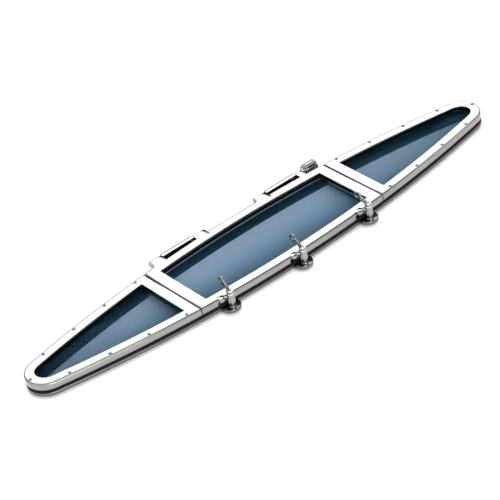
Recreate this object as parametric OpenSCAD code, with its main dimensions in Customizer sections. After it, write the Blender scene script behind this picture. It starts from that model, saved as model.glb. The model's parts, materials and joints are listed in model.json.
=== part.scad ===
// Boat-shaped deck hatch: a fixed window at each end and a hinged lid between them.
// Millimetres. X runs along the hatch, -Y is the dog side, +Y the hinge side, +Z up.
// The origin is the centre of the outline, on the deck, at the underside of the base flange.

/* [Overall] */
// Length over the two round tips
hatch_length = 1400; // [1360:5:1440]
// Width at the middle
hatch_width = 242; // [236:1:250]
// Radius of the tips, seen from above
tip_r = 52; // [48:1:56]

/* [Layers] */
// Thickness of the base flange on the deck
flange_h = 9; // [8:0.5:10]
// Height of the rubber gasket between the flange and the upper frames
gasket_h = 9.5; // [9:0.5:11]
// Height of the lid and wing frames
frame_h = 17.5; // [17:0.5:19]
// Thickness of the frames' lip over the glass
lip_h = 4; // [3.5:0.5:4]
// Thickness of the glass
glass_h = 8; // [7:0.5:8]
// Depth of the spigot below the flange
spigot_h = 9; // [6:1:30]

/* [Frames] */
// Half length of the lid
lid_half = 282; // [281:1:283]
// Gap between the lid and each wing frame
seam_gap = 2.5; // [2:0.5:3]
// Width of the frames' upper face along the outline
face_w = 24.5; // [23:0.5:26]
// Width of the lid's upper face at its two ends
lid_end_w = 30.5; // [30:0.5:32]
// Width of a wing's upper face at the seam
wing_end_w = 27; // [26:0.5:28]
// Chamfer of the frames' outer upper edge
edge_c = 2; // [1:0.5:2.5]

/* [Wing screws] */
// First screw's distance from the middle of the hatch
screw_x0 = 318; // [314:1:320]
// Spacing of the screws along the hatch
screw_pitch = 100.5; // [99:0.5:101]
// Distance of the screws from the outline
screw_inset = 7.6; // [7:0.1:8]

/* [Hinges] */
// Distance of each hinge's middle from the middle of the hatch
hinge_x = 163; // [160:1:166]
// Length of the fixed knuckle
knuckle_w = 95; // [80:1:96]
// Distance of the hinge axis from the hatch's long axis
hinge_y = 133; // [132:0.5:135]
// Radius of the lid's ears round the hinge axis
ear_r = 6.2; // [6:0.1:6.5]
// Radius of the hinge pins
pin_r = 3; // [2.5:0.5:3]
// Radius of the friction knob
knob_r = 15; // [12:0.5:15]

/* [Dogs] */
// Spacing of the three dogs
dog_pitch = 216; // [210:1:220]
// Distance of the middle dog from the middle of the hatch
dog_shift = 7; // [0:1:8]
// Distance of a dog's axis outside the outline
dog_out = 12; // [12:0.5:13]
// Radius of a lobe of the base flange
lobe_r = 24; // [22:1:26]
// Radius of the barrel that holds a dog's screw
barrel_r = 9.2; // [9:0.1:9.6]
// Radius of a dog's screw
bolt_r = 4; // [3.5:0.5:4]
// Lift of the screw per turn of the lever
dog_lead = 2; // [1.5:0.5:2]

/* [Hidden] */

// Colours
steel = "gainsboro";
brushed = "silver";
rubber = "dimgray";
tint = [0.35, 0.47, 0.56, 0.6];
nylon = "ivory";
brass = "goldenrod";

// The outline is two long arcs closed by two tip circles. The tip circles stand tip_lap proud
// of the arcs where they meet, so that the curves cross instead of only touching.
half_len = hatch_length / 2;
half_w = hatch_width / 2;
tip_lap = 0.05;
tip_x = half_len - tip_r;
tip_t = tip_r - tip_lap;
arc_r = (pow(tip_x, 2) / (half_w - tip_t) + tip_t + half_w) / 2;
arc_c = arc_r - half_w;
arc_fn = 256;
far = 2 * half_len;

// Levels
frame_z = flange_h + gasket_h;
top_z = frame_z + frame_h;
lip_z = top_z - lip_h;
seal_t = 1;
glass_top = lip_z - seal_t;
glass_z = glass_top - glass_h;
bed_z = glass_z - seal_t;
retainer_h = bed_z - frame_z;
lid_riser_z = frame_z - 2.5;
slack = 1;

// Insets from the outline
wall_w = 15;
rebate_w = 9.3;
glass_inset = wall_w + 1;
opening_inset = face_w + 0.5;
spigot_t = 4;
gasket_out = 1.2;
gasket_in = 12;
lid_riser_inset = 13;
wing_riser_inset = wall_w + 1.2;

// Distances along the hatch
wing_start = lid_half + seam_gap;
lid_open_x = lid_half - lid_end_w + 1;
lid_ledge_x = lid_half - 24;
lid_well_x = lid_half - 12;
wing_ledge_x = wing_start + 19.5;
wing_well_x = wing_start + 6.5;
lid_wall_x = lid_half - wall_w;
wing_wall_x = wing_start + wall_w;

// Fasteners: M5 in the wings and brackets, M3 in the retainer, M6 studs up from the deck
m5_r = 2.5;
m5_head_r = 4.65;
m3_r = 1.5;
m3_head_r = 2.75;
stud_hole_r = 2.5;
stud_depth = 8;
stud_inset = 16;
stud_xs = [60, 180, 330, 440, 550];
fit_gap = 0.05;
key_r = 1.6;

// Hinge
hinge_z = top_z - ear_r;
knuckle_half = ear_r;
knuckle_c = 1.2;
web_half = 5;
ear_gap = 0.5;
ear_x0 = knuckle_w / 2 + ear_gap;
ear_in = 36;
ear_out_left = 37;
ear_out_right = 22;
ear_root_y = half_w - 13;
ear_fillet = 6;
bush_r = 4.5;
pad_w = knuckle_w + 8;
pad_y = hinge_y + 20;
foot_h = 5;
bracket_screw_pitch = 34;
bracket_screw_y = hinge_y + 12.5;

// Friction knob
knob_ear_x = hinge_x + ear_x0 + ear_out_right;
washer_t = 1.6;
collar_w = 5;
knob_w = 36;
collar_r = 9;

// Dogs
barrel_z = flange_h + 4;
barrel_top = top_z + 8;
thrust_t = 1;
hub_z = barrel_top + thrust_t + 0.2;
hub_h = 8;
hub_r = 8.8;
socket_r = 9.7;
socket_h = 3;
socket_body_r = 7;
socket_hole_r = bolt_r + 0.6;
socket_floor = 5;
bolt_z = 7.5;
barrel_foot_r = barrel_r - 1.4;
barrel_foot_h = 10;
counterbore_r = 6.2;
collar_z = 19;
collar_h = 3;
clip_z = 17.4;
clip_h = 1.2;
lever_rise = 33;
lever_t = 5;
lever_z = hub_z + 3.5;
lever_ring_y = 34;
lever_ring_r = 10;
lever_eye_r = 4.8;
lever_slot_r = 2.1;
lever_root_w = 8;
lever_neck_w = 11;
lever_pin_r = 1.25;
dogs = [0, 1, 2];
// Turn of each lever at rest, in degrees, first dog to third
dog_turn = [-4, 4, 16];
// A screw rises by dog_lift in three turns of its lever, and its collar needs that room above it
dog_lift = 3 * dog_lead;
counterbore_top = max(top_z - 3, collar_z + collar_h + dog_lift + 1);

// Height of the outline's rear arc at x, drawn in by inset
function edge_y(x, inset = 0) = sqrt(pow(arc_r - inset, 2) - x * x) - arc_c;
// End of the long arcs, where the tip circles take over
function arc_end(inset) = tip_x * (arc_r - inset) / (arc_r - tip_r);
function dog_x(i) = dog_shift + (i - 1) * dog_pitch;
function dog_edge(i) = edge_y(dog_x(i));
function dog_y(i) = -dog_edge(i) - dog_out;

// ---- Outline helpers ----

// The hatch's outline, drawn in by inset
module lens(inset) {
  intersection() {
    translate([0, -arc_c]) circle(r = arc_r - inset, $fn = arc_fn);
    translate([0, arc_c]) circle(r = arc_r - inset, $fn = arc_fn);
    union() {
      square([2 * arc_end(inset), 2 * hatch_width], center = true);
      for (s = [-1, 1])
        translate([s * tip_x, 0]) circle(r = tip_r - inset, $fn = 128);
    }
  }
}

// The part of the outline between x0 and x1
module lens_part(inset, x0, x1) {
  intersection() {
    lens(inset);
    translate([x0, -hatch_width]) square([x1 - x0, 2 * hatch_width]);
  }
}

// A disc with chamfered upper and lower edges
module edged_disc(r, z0, z1, top, bottom) {
  rotate_extrude($fn = arc_fn)
    polygon([[0, z0], [r - bottom, z0], [r, z0 + bottom], [r, z1 - top], [r - top, z1], [0, z1]]);
}

// The outline as a solid with chamfered edges
module lens_body(inset, z0, z1, top, bottom) {
  intersection() {
    translate([0, -arc_c, 0]) edged_disc(arc_r - inset, z0, z1, top, bottom);
    translate([0, arc_c, 0]) edged_disc(arc_r - inset, z0, z1, top, bottom);
    union() {
      translate([-arc_end(inset), -hatch_width, z0 - 1])
        cube([2 * arc_end(inset), 2 * hatch_width, z1 - z0 + 2]);
      for (s = [-1, 1])
        translate([s * tip_x, 0, 0]) edged_disc(tip_r - inset, z0, z1, top, bottom);
    }
  }
}

// A block across the hatch from x0 to x1, with its two upper edges chamfered by c
module cross_block(x0, x1, z0, z1, c) {
  translate([0, hatch_width, 0])
    rotate([90, 0, 0])
      linear_extrude(height = 2 * hatch_width)
        polygon([[x0, z0], [x1, z0], [x1, z1 - c], [x1 - c, z1], [x0 + c, z1], [x0, z1 - c]]);
}

// A solid block of the outline between x0 and x1, z0 to z1
module block(inset, x0, x1, z0, z1) {
  translate([0, 0, z0]) linear_extrude(height = z1 - z0) lens_part(inset, x0, x1);
}

// A ring between two parts of the outline, z0 to z1; x1 = far makes it a wing's ring
module ring(outer, outer_x, inner, inner_x, z0, z1) {
  translate([0, 0, z0])
    linear_extrude(height = z1 - z0)
      difference() {
        lens_part(outer, -outer_x, outer_x);
        lens_part(inner, -inner_x, inner_x);
      }
}

module wing_ring(outer, outer_x, inner, inner_x, z0, z1) {
  translate([0, 0, z0])
    linear_extrude(height = z1 - z0)
      difference() {
        lens_part(outer, outer_x, far);
        lens_part(inner, inner_x, far);
      }
}

// A left part is the right one mirrored
module sided(side) {
  if (side < 0) mirror([1, 0, 0]) children();
  else children();
}

// A rod on the hinge axis from x0 to x1
module hinge_rod(x0, x1, r, sides = 48) {
  translate([x0, hinge_y, hinge_z])
    rotate([0, 90, 0]) cylinder(h = x1 - x0, r = r, $fn = sides);
}

// A vertical hole of radius r from z upwards by h
module drill(r, z, h) {
  translate([0, 0, z]) cylinder(h = h, r = r, $fn = 32);
}

// ---- Fastener helpers ----

// A countersunk screw with its head's face at z = 0 and its shank below
module countersunk_screw(r, head_r, len) {
  rim = 0.3;
  difference() {
    union() {
      translate([0, 0, -rim]) cylinder(h = rim, r = head_r, $fn = 32);
      translate([0, 0, -rim - (head_r - r)]) cylinder(h = head_r - r, r1 = r, r2 = head_r, $fn = 32);
      translate([0, 0, -len]) cylinder(h = len - 1, r = r, $fn = 32);
    }
    translate([0, 0, -r * 0.9]) cylinder(h = r, r = r * 0.62, $fn = 6);
  }
}

// The hole that such a screw sits in, down to depth len
module countersunk_hole(r, head_r, len) {
  rim = 0.4;
  grown = r + fit_gap;
  grown_head = head_r + fit_gap;
  translate([0, 0, -rim]) cylinder(h = rim + 1, r = grown_head, $fn = 32);
  translate([0, 0, -rim - (head_r - r)]) cylinder(h = head_r - r, r1 = grown, r2 = grown_head, $fn = 32);
  translate([0, 0, -len]) cylinder(h = len - 1, r = grown, $fn = 32);
}

// The nine screw places of the right wing: four each side and one at the tip
module at_wing_screws() {
  for (k = [0:3], s = [-1, 1])
    translate([screw_x0 + k * screw_pitch, s * edge_y(screw_x0 + k * screw_pitch, screw_inset), 0])
      children();
  translate([half_len - screw_inset, 0, 0]) children();
}

// The places of the screws that hold the glass retainer
module at_retainer_screws() {
  inset = 12.2;
  for (k = [-3:3], s = [-1, 1])
    translate([k * 80, s * edge_y(k * 80, inset), 0]) children();
  for (s = [-1, 1], y = [-50, 50])
    translate([s * (lid_half - inset), y, 0]) children();
}

module at_dogs() {
  for (i = dogs)
    translate([dog_x(i), dog_y(i), 0]) children();
}

// ---- Base ----

// Pad that carries a hinge bracket behind the outline
module hinge_pad() {
  corner = 8;
  translate([-pad_w / 2, half_w - 30]) square([pad_w, pad_y - corner - half_w + 30]);
  translate([-pad_w / 2 + corner, pad_y - corner - 1]) square([pad_w - 2 * corner, corner + 1]);
  for (s = [-1, 1])
    translate([s * (pad_w / 2 - corner), pad_y - corner]) circle(r = corner, $fn = 48);
}

// The flange seen from above: the outline, a lobe under each dog and a pad under each hinge
module flange_shape() {
  lens(0);
  for (i = dogs)
    translate([dog_x(i), -dog_edge(i) - 5]) circle(r = lobe_r, $fn = 96);
  for (s = [-1, 1])
    translate([s * hinge_x, 0]) hinge_pad();
}

module base_frame() {
  color(steel)
    difference() {
      union() {
        linear_extrude(height = flange_h) flange_shape();
        // ledge round the lid's well, which carries its seal
        block(lid_riser_inset, -lid_well_x - spigot_t, lid_well_x + spigot_t, 1, lid_riser_z);
        // ledges under the wings' end walls, and the beds that carry the wings' glass
        for (s = [-1, 1])
          sided(s) {
            block(wing_riser_inset, wing_well_x - spigot_t, far, 1, frame_z - 0.5);
            block(wing_riser_inset, wing_wall_x + 1.2, far, 1, bed_z);
          }
        // spigots that line the deck's cut-outs
        block(opening_inset - spigot_t, -lid_well_x - spigot_t, lid_well_x + spigot_t, -spigot_h, 1);
        for (s = [-1, 1])
          sided(s) block(opening_inset - spigot_t, wing_well_x - spigot_t, far, -spigot_h, 1);
      }
      // the wells, wider below the ledges
      block(opening_inset, -lid_well_x, lid_well_x, -spigot_h - 1, flange_h);
      block(opening_inset, -lid_ledge_x, lid_ledge_x, flange_h - 1, bed_z + 1);
      for (s = [-1, 1])
        sided(s) {
          block(opening_inset, wing_well_x, far, -spigot_h - 1, flange_h);
          block(opening_inset, wing_ledge_x, far, flange_h - 1, bed_z + 1);
        }
      // bores for the dog sockets
      at_dogs() translate([0, 0, 1.5]) cylinder(h = flange_h, r = socket_body_r + fit_gap, $fn = 48);
      // threads for the wing screws
      for (s = [-1, 1])
        sided(s) at_wing_screws() drill(m5_r + fit_gap, 1.5, flange_h);
      // threads for the bracket screws
      for (s = [-1, 1], k = [-1, 0, 1])
        translate([s * hinge_x + k * bracket_screw_pitch, bracket_screw_y, 0])
          drill(m5_r + fit_gap, 1, flange_h);
      // stud holes from below
      for (x = stud_xs, sx = [-1, 1], sy = [-1, 1])
        translate([sx * x, sy * edge_y(x, stud_inset), 0])
          drill(stud_hole_r, -1, stud_depth + 1);
      for (s = [-1, 1])
        translate([s * (half_len - stud_inset), 0, 0])
          drill(stud_hole_r, -1, stud_depth + 1);
    }
}

module perimeter_gasket() {
  color(rubber)
    difference() {
      ring(gasket_out, far, gasket_in, far, flange_h, frame_z);
      for (s = [-1, 1])
        sided(s) at_wing_screws() drill(m5_r + 0.4, flange_h - 1, gasket_h + 2);
    }
}

module lid_seal() {
  color(rubber) ring(15, lid_ledge_x + 9, 22, lid_ledge_x + 2, lid_riser_z, frame_z);
}

module dog_sockets() {
  lip = 0.8;
  color(brushed)
    at_dogs()
      difference() {
        union() {
          translate([0, 0, 1.5]) cylinder(h = flange_h - 1.5, r = socket_body_r, $fn = 48);
          edged_socket_flange(lip);
        }
        translate([0, 0, socket_floor]) cylinder(h = 20, r = socket_hole_r, $fn = 48);
      }
}

// Raised ring of a socket, with a chamfered rim
module edged_socket_flange(lip) {
  translate([0, 0, flange_h]) cylinder(h = socket_h - lip, r = socket_r, $fn = 64);
  translate([0, 0, flange_h + socket_h - lip])
    cylinder(h = lip, r1 = socket_r, r2 = socket_r - lip, $fn = 64);
}

// ---- Hinges ----

// Knuckle on its web, seen along the hinge axis; the knuckle's top is flush with the lid
module knuckle_shape() {
  low = hinge_z - knuckle_half;
  high = hinge_z + knuckle_half;
  y0 = hinge_y - knuckle_half;
  y1 = hinge_y + knuckle_half;
  polygon([[hinge_y - web_half, flange_h], [hinge_y + web_half, flange_h],
    [hinge_y + web_half, low], [y1, low + knuckle_c], [y1, high - knuckle_c], [y1 - knuckle_c, high],
    [y0 + knuckle_c, high], [y0, high - knuckle_c], [y0, low + knuckle_c], [hinge_y - web_half, low]]);
}

module hinge_bracket(side) {
  foot_y0 = hinge_y - 9;
  color(steel)
    translate([side * hinge_x, 0, 0])
      difference() {
        union() {
          translate([-knuckle_w / 2, 0, 0])
            rotate([90, 0, 90]) linear_extrude(height = knuckle_w) knuckle_shape();
          translate([-knuckle_w / 2, foot_y0, flange_h])
            cube([knuckle_w, pad_y - 1.5 - foot_y0, foot_h]);
        }
        hinge_rod(-knuckle_w, knuckle_w, pin_r + fit_gap);
        for (k = [-1, 0, 1])
          translate([k * bracket_screw_pitch, bracket_screw_y, flange_h + foot_h])
            countersunk_hole(m5_r, m5_head_r, 20);
      }
}

module bracket_screws() {
  color(brushed)
    for (s = [-1, 1], k = [-1, 0, 1])
      translate([s * hinge_x + k * bracket_screw_pitch, bracket_screw_y, flange_h + foot_h])
        countersunk_screw(m5_r, m5_head_r, foot_h + flange_h - 2);
}

// The pins run through a knuckle and the two ears beside it
left_pin_x0 = -hinge_x - ear_x0 - ear_out_left + 1;
left_pin_x1 = -hinge_x + ear_x0 + ear_in - 1;
right_pin_x0 = hinge_x - ear_x0 - ear_in + 1;
right_pin_x1 = knob_ear_x + 24;

module hinge_pin(x0, x1) {
  color(brushed)
    hinge_rod(x0, x1, pin_r);
}

// ---- Wings ----

module wing_frame(side) {
  color(steel)
    sided(side)
      difference() {
        intersection() {
          lens_body(0, frame_z, top_z, edge_c, 0.6);
          cross_block(wing_start, far, frame_z, top_z, 0.8);
        }
        translate([0, 0, frame_z - 1])
          linear_extrude(height = lip_z - frame_z + 1) lens_part(wall_w, wing_wall_x, far);
        translate([0, 0, frame_z])
          linear_extrude(height = 2 * frame_h) lens_part(face_w, wing_start + wing_end_w, far);
        at_wing_screws() translate([0, 0, top_z]) countersunk_hole(m5_r, m5_head_r, 2 * frame_h);
      }
}

module wing_glass(side) {
  color(tint)
    sided(side)
      translate([0, 0, glass_z])
        linear_extrude(height = glass_h) lens_part(glass_inset, wing_wall_x + slack, far);
}

// Tape between the lip and the glass
module wing_glass_seal(side) {
  end = wing_start + wing_end_w - 0.8;
  color(rubber)
    sided(side)
      wing_ring(glass_inset + 1, wing_wall_x + 2, face_w - 0.8, end, glass_top, lip_z);
}

// Bed that the glass lies on, on the base's riser
module wing_bed_seal(side) {
  color(rubber)
    sided(side)
      wing_ring(glass_inset + 1.5, wing_wall_x + 1.6, opening_inset - 1, wing_ledge_x - 0.4, bed_z, glass_z);
}

module wing_screws(side) {
  color(brushed)
    sided(side)
      at_wing_screws() translate([0, 0, top_z]) countersunk_screw(m5_r, m5_head_r, top_z - 2);
}

// ---- Lid ----

// One ear: a plate from the lid's rear wall, round at the hinge axis, from x0 to x1
module ear(x0, x1) {
  translate([x0, ear_root_y, top_z - 2 * ear_r])
    cube([x1 - x0, hinge_y - ear_root_y, 2 * ear_r]);
  hinge_rod(x0, x1, ear_r, 64);
}

// Concave corner between an ear's end at x and the lid's edge; dir is the side it lies on
module ear_corner(x, dir) {
  y = edge_y(x);
  x0 = dir > 0 ? x - 1 : x - ear_fillet;
  difference() {
    translate([x0, y - 6, top_z - 2 * ear_r])
      cube([ear_fillet + 1, 6 + ear_fillet, 2 * ear_r]);
    translate([x + dir * ear_fillet, y + ear_fillet, top_z - 20])
      cylinder(h = 40, r = ear_fillet, $fn = 48);
  }
}

module ears() {
  for (s = [-1, 1]) {
    inner = s * (hinge_x - ear_x0);
    tip = inner - s * ear_in;
    ear(min(inner, tip), max(inner, tip));
    ear_corner(tip, -s);
  }
  ear(-hinge_x - ear_x0 - ear_out_left, -hinge_x - ear_x0);
  ear_corner(-hinge_x - ear_x0 - ear_out_left, -1);
  ear(hinge_x + ear_x0, knob_ear_x);
}

// Lug that carries a dog's barrel: a round-ended plate flush with the lid's face, and a web
module dog_lug(i) {
  lug_h = 7;
  lug_r = 9;
  lug_x = -19;
  reach = dog_out + 0.5;
  web_x = -10.5;
  translate([dog_x(i), dog_y(i), 0]) {
    translate([0, 0, barrel_z]) cylinder(h = barrel_foot_h, r = barrel_foot_r, $fn = 64);
    translate([0, 0, barrel_z + barrel_foot_h - 1])
      cylinder(h = barrel_top - barrel_z - barrel_foot_h + 1, r = barrel_r, $fn = 64);
    translate([lug_x, reach, top_z - lug_h]) cylinder(h = lug_h, r = lug_r, $fn = 64);
    translate([lug_x, reach - lug_r, top_z - lug_h]) cube([lug_r, 2 * lug_r, lug_h]);
    translate([web_x, -3, frame_z + 1]) cube([3.5, reach + 5, top_z - frame_z - 2]);
    translate([web_x, -2.5, frame_z + 1]) cube([-web_x, 5, top_z - frame_z - 2]);
  }
}

module lid_frame() {
  color(steel)
    difference() {
      union() {
        difference() {
          intersection() {
            lens_body(0, frame_z, top_z, edge_c, 0.6);
            cross_block(-lid_half, lid_half, frame_z, top_z, 0.8);
          }
          translate([0, 0, bed_z])
            linear_extrude(height = lip_z - bed_z) lens_part(wall_w, -lid_wall_x, lid_wall_x);
          translate([0, 0, frame_z - 1])
            linear_extrude(height = bed_z - frame_z + 1)
              lens_part(rebate_w, -lid_half + rebate_w, lid_half - rebate_w);
          translate([0, 0, frame_z])
            linear_extrude(height = 2 * frame_h)
              lens_part(face_w, -lid_half + lid_end_w, lid_half - lid_end_w);
        }
        ears();
        for (i = dogs) dog_lug(i);
      }
      // bores for the hinge bushes
      hinge_rod(-far, far, bush_r + fit_gap);
      // each barrel's bore, and the counterbore that its collar slides in
      at_dogs() {
        cylinder(h = 2 * top_z, r = bolt_r + fit_gap, $fn = 48);
        translate([0, 0, barrel_z - 1])
          cylinder(h = counterbore_top - barrel_z + 1, r = counterbore_r, $fn = 48);
      }
      // threads for the retainer's screws
      at_retainer_screws() drill(m3_r + fit_gap, bed_z - 1, 9);
    }
}

module lid_glass() {
  color(tint)
    translate([0, 0, glass_z])
      linear_extrude(height = glass_h) lens_part(glass_inset, -lid_wall_x + slack, lid_wall_x - slack);
}

module lid_glass_seal() {
  color(rubber)
    ring(glass_inset + 1, lid_wall_x - 2, face_w - 0.8, lid_half - lid_end_w + 0.8, glass_top, lip_z);
}

module lid_bed_seal() {
  color(rubber) ring(glass_inset + 1, lid_wall_x - 2, opening_inset - 1, lid_open_x + 1, bed_z, glass_z);
}

module lid_glass_retainer() {
  color(brushed)
    difference() {
      ring(rebate_w + 0.2, lid_half - rebate_w - 0.2, opening_inset, lid_open_x, frame_z, bed_z);
      at_retainer_screws()
        translate([0, 0, frame_z]) mirror([0, 0, 1]) countersunk_hole(m3_r, m3_head_r, 20);
    }
}

module retainer_screws() {
  color(brushed)
    at_retainer_screws()
      translate([0, 0, frame_z]) mirror([0, 0, 1]) countersunk_screw(m3_r, m3_head_r, 10);
}

// A bush in each ear, running on the hinge pins
module bush(x0, x1) {
  difference() {
    hinge_rod(x0, x1, bush_r);
    hinge_rod(x0 - 1, x1 + 1, pin_r + fit_gap);
  }
}

module hinge_bushes() {
  color(nylon) {
    for (s = [-1, 1]) {
      inner = s * (hinge_x - ear_x0);
      tip = inner - s * ear_in;
      bush(min(inner, tip), max(inner, tip));
    }
    bush(-hinge_x - ear_x0 - ear_out_left, -hinge_x - ear_x0);
    bush(hinge_x + ear_x0, knob_ear_x);
  }
}

module friction_washer() {
  color(nylon)
    difference() {
      hinge_rod(knob_ear_x, knob_ear_x + washer_t, collar_r - 1, 64);
      hinge_rod(knob_ear_x - 1, knob_ear_x + washer_t + 1, pin_r + 0.3);
    }
}

// Round knob on the end of the right hinge pin, with a narrower collar towards the ear
module friction_knob() {
  knob_x = knob_ear_x + washer_t + 0.2;
  c = 1.5;
  color(steel)
    translate([knob_x, hinge_y, hinge_z])
      rotate([0, 90, 0])
        difference() {
          rotate_extrude($fn = 96)
            polygon([[0, 0], [collar_r - 0.6, 0], [collar_r, 0.6], [collar_r, collar_w],
              [knob_r - c, collar_w], [knob_r, collar_w + c], [knob_r, collar_w + knob_w - c],
              [knob_r - c, collar_w + knob_w], [0, collar_w + knob_w]]);
          translate([0, 0, -1]) cylinder(h = 26, r = pin_r + fit_gap, $fn = 48);
        }
}

// ---- Dogs ----

module thrust_washers() {
  color(nylon)
    at_dogs()
      translate([0, 0, barrel_top])
        difference() {
          cylinder(h = thrust_t, r = barrel_r - 0.5, $fn = 48);
          translate([0, 0, -1]) cylinder(h = 3, r = bolt_r + 0.3, $fn = 48);
        }
}

// Collar in the barrel that rides up and down with the screw without turning
module dog_collar(i) {
  color(brass)
    translate([dog_x(i), dog_y(i), collar_z])
      difference() {
        cylinder(h = collar_h, r = counterbore_r - 0.3, $fn = 48);
        translate([0, 0, -1]) cylinder(h = collar_h + 2, r = bolt_r + fit_gap, $fn = 48);
      }
}

// Screw: a plain shank with a grooved neck for the clip, a chamfered tip and a slotted top
module dog_bolt(i) {
  top = hub_z + hub_h - 1.6;
  color(brushed)
    translate([dog_x(i), dog_y(i), 0])
      rotate([0, 0, dog_turn[i]])
        difference() {
          union() {
            translate([0, 0, bolt_z]) cylinder(h = 1, r1 = bolt_r - 1, r2 = bolt_r, $fn = 48);
            translate([0, 0, bolt_z + 1]) cylinder(h = top - bolt_z - 1, r = bolt_r, $fn = 48);
          }
          translate([0, 0, clip_z])
            difference() {
              cylinder(h = clip_h, r = bolt_r + 1, $fn = 48);
              translate([0, 0, -1]) cylinder(h = clip_h + 2, r = bolt_r - 0.6, $fn = 48);
            }
          translate([-bolt_r - 1, -0.8, top - 1.2]) cube([2 * bolt_r + 2, 1.6, 3]);
          lever_pin_hole();
        }
}

module dog_clip(i) {
  color(brushed)
    translate([dog_x(i), dog_y(i), clip_z + 0.1])
      difference() {
        cylinder(h = clip_h - 0.2, r = counterbore_r - 0.6, $fn = 48);
        translate([0, 0, -1]) cylinder(h = clip_h + 2, r = bolt_r - 0.55, $fn = 48);
      }
}

// Cross hole for the pin that holds a lever to its screw
module lever_pin_hole() {
  translate([-10, 0, hub_z + 3])
    rotate([0, 90, 0]) cylinder(h = 20, r = lever_pin_r + fit_gap, $fn = 24);
}

// Thumb lever: a hub on the screw and a rising slotted blade
module dog_lever(i) {
  color(steel)
    translate([dog_x(i), dog_y(i), 0])
      rotate([0, 0, dog_turn[i]])
        difference() {
          union() {
            translate([0, 0, hub_z]) cylinder(h = hub_h - 1, r = hub_r, $fn = 64);
            translate([0, 0, hub_z + hub_h - 1]) cylinder(h = 1, r1 = hub_r, r2 = hub_r - 1, $fn = 64);
            translate([0, 0, lever_z]) rotate([lever_rise, 0, 0]) lever_blade();
          }
          translate([0, 0, hub_z - 1]) cylinder(h = hub_h + 2, r = bolt_r + fit_gap, $fn = 48);
          lever_pin_hole();
        }
}

// The blade along +Y from the screw's axis, standing on edge, with a slot and a ring at its end
module lever_blade() {
  start = bolt_r + 2;
  bend = 14;
  translate([-lever_t / 2, 0, 0])
    rotate([90, 0, 90])
      linear_extrude(height = lever_t)
        difference() {
          union() {
            polygon([[start, -lever_root_w / 2], [bend, -lever_neck_w / 2],
              [lever_ring_y, -lever_neck_w / 2], [lever_ring_y, lever_neck_w / 2],
              [bend, lever_neck_w / 2], [start, lever_root_w / 2]]);
            translate([lever_ring_y, 0]) circle(r = lever_ring_r, $fn = 64);
          }
          translate([lever_ring_y, 0]) circle(r = lever_eye_r, $fn = 48);
          translate([bend, -lever_slot_r]) square([6, 2 * lever_slot_r]);
          for (e = [0, 6])
            translate([bend + e, 0]) circle(r = lever_slot_r, $fn = 32);
        }
}

module lever_pin(i) {
  len = 2 * hub_r - 1.5;
  color(brushed)
    translate([dog_x(i), dog_y(i), hub_z + 3])
      rotate([0, 0, dog_turn[i]])
        translate([-len / 2, 0, 0])
          rotate([0, 90, 0]) cylinder(h = len, r = lever_pin_r, $fn = 24);
}

base_frame();
perimeter_gasket();
lid_seal();
dog_sockets();
hinge_bracket(-1);  // hinge_bracket_left
hinge_bracket(1);  // hinge_bracket_right
bracket_screws();
hinge_pin(left_pin_x0, left_pin_x1);  // hinge_pin_left
hinge_pin(right_pin_x0, right_pin_x1);  // hinge_pin_right
wing_frame(-1);  // wing_frame_left
wing_frame(1);  // wing_frame_right
wing_glass(-1);  // wing_glass_left
wing_glass(1);  // wing_glass_right
wing_glass_seal(-1);  // wing_glass_seal_left
wing_glass_seal(1);  // wing_glass_seal_right
wing_bed_seal(-1);  // wing_bed_seal_left
wing_bed_seal(1);  // wing_bed_seal_right
wing_screws(-1);  // wing_screws_left
wing_screws(1);  // wing_screws_right
lid_frame();
lid_glass();
lid_glass_seal();
lid_bed_seal();
lid_glass_retainer();
retainer_screws();
hinge_bushes();
friction_washer();
friction_knob();
thrust_washers();
dog_collar(0);  // dog_collar_1
dog_collar(1);  // dog_collar_2
dog_collar(2);  // dog_collar_3
dog_bolt(0);  // dog_bolt_1
dog_bolt(1);  // dog_bolt_2
dog_bolt(2);  // dog_bolt_3
dog_clip(0);  // dog_clip_1
dog_clip(1);  // dog_clip_2
dog_clip(2);  // dog_clip_3
dog_lever(0);  // dog_lever_1
dog_lever(1);  // dog_lever_2
dog_lever(2);  // dog_lever_3
lever_pin(0);  // lever_pin_1
lever_pin(1);  // lever_pin_2
lever_pin(2);  // lever_pin_3
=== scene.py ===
"""Looks of the deck hatch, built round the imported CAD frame.

Lengths are in millimetres until a mesh is made.
"""

import json
import math

import bmesh
import bpy
from mathutils import Euler, Matrix, Vector


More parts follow.
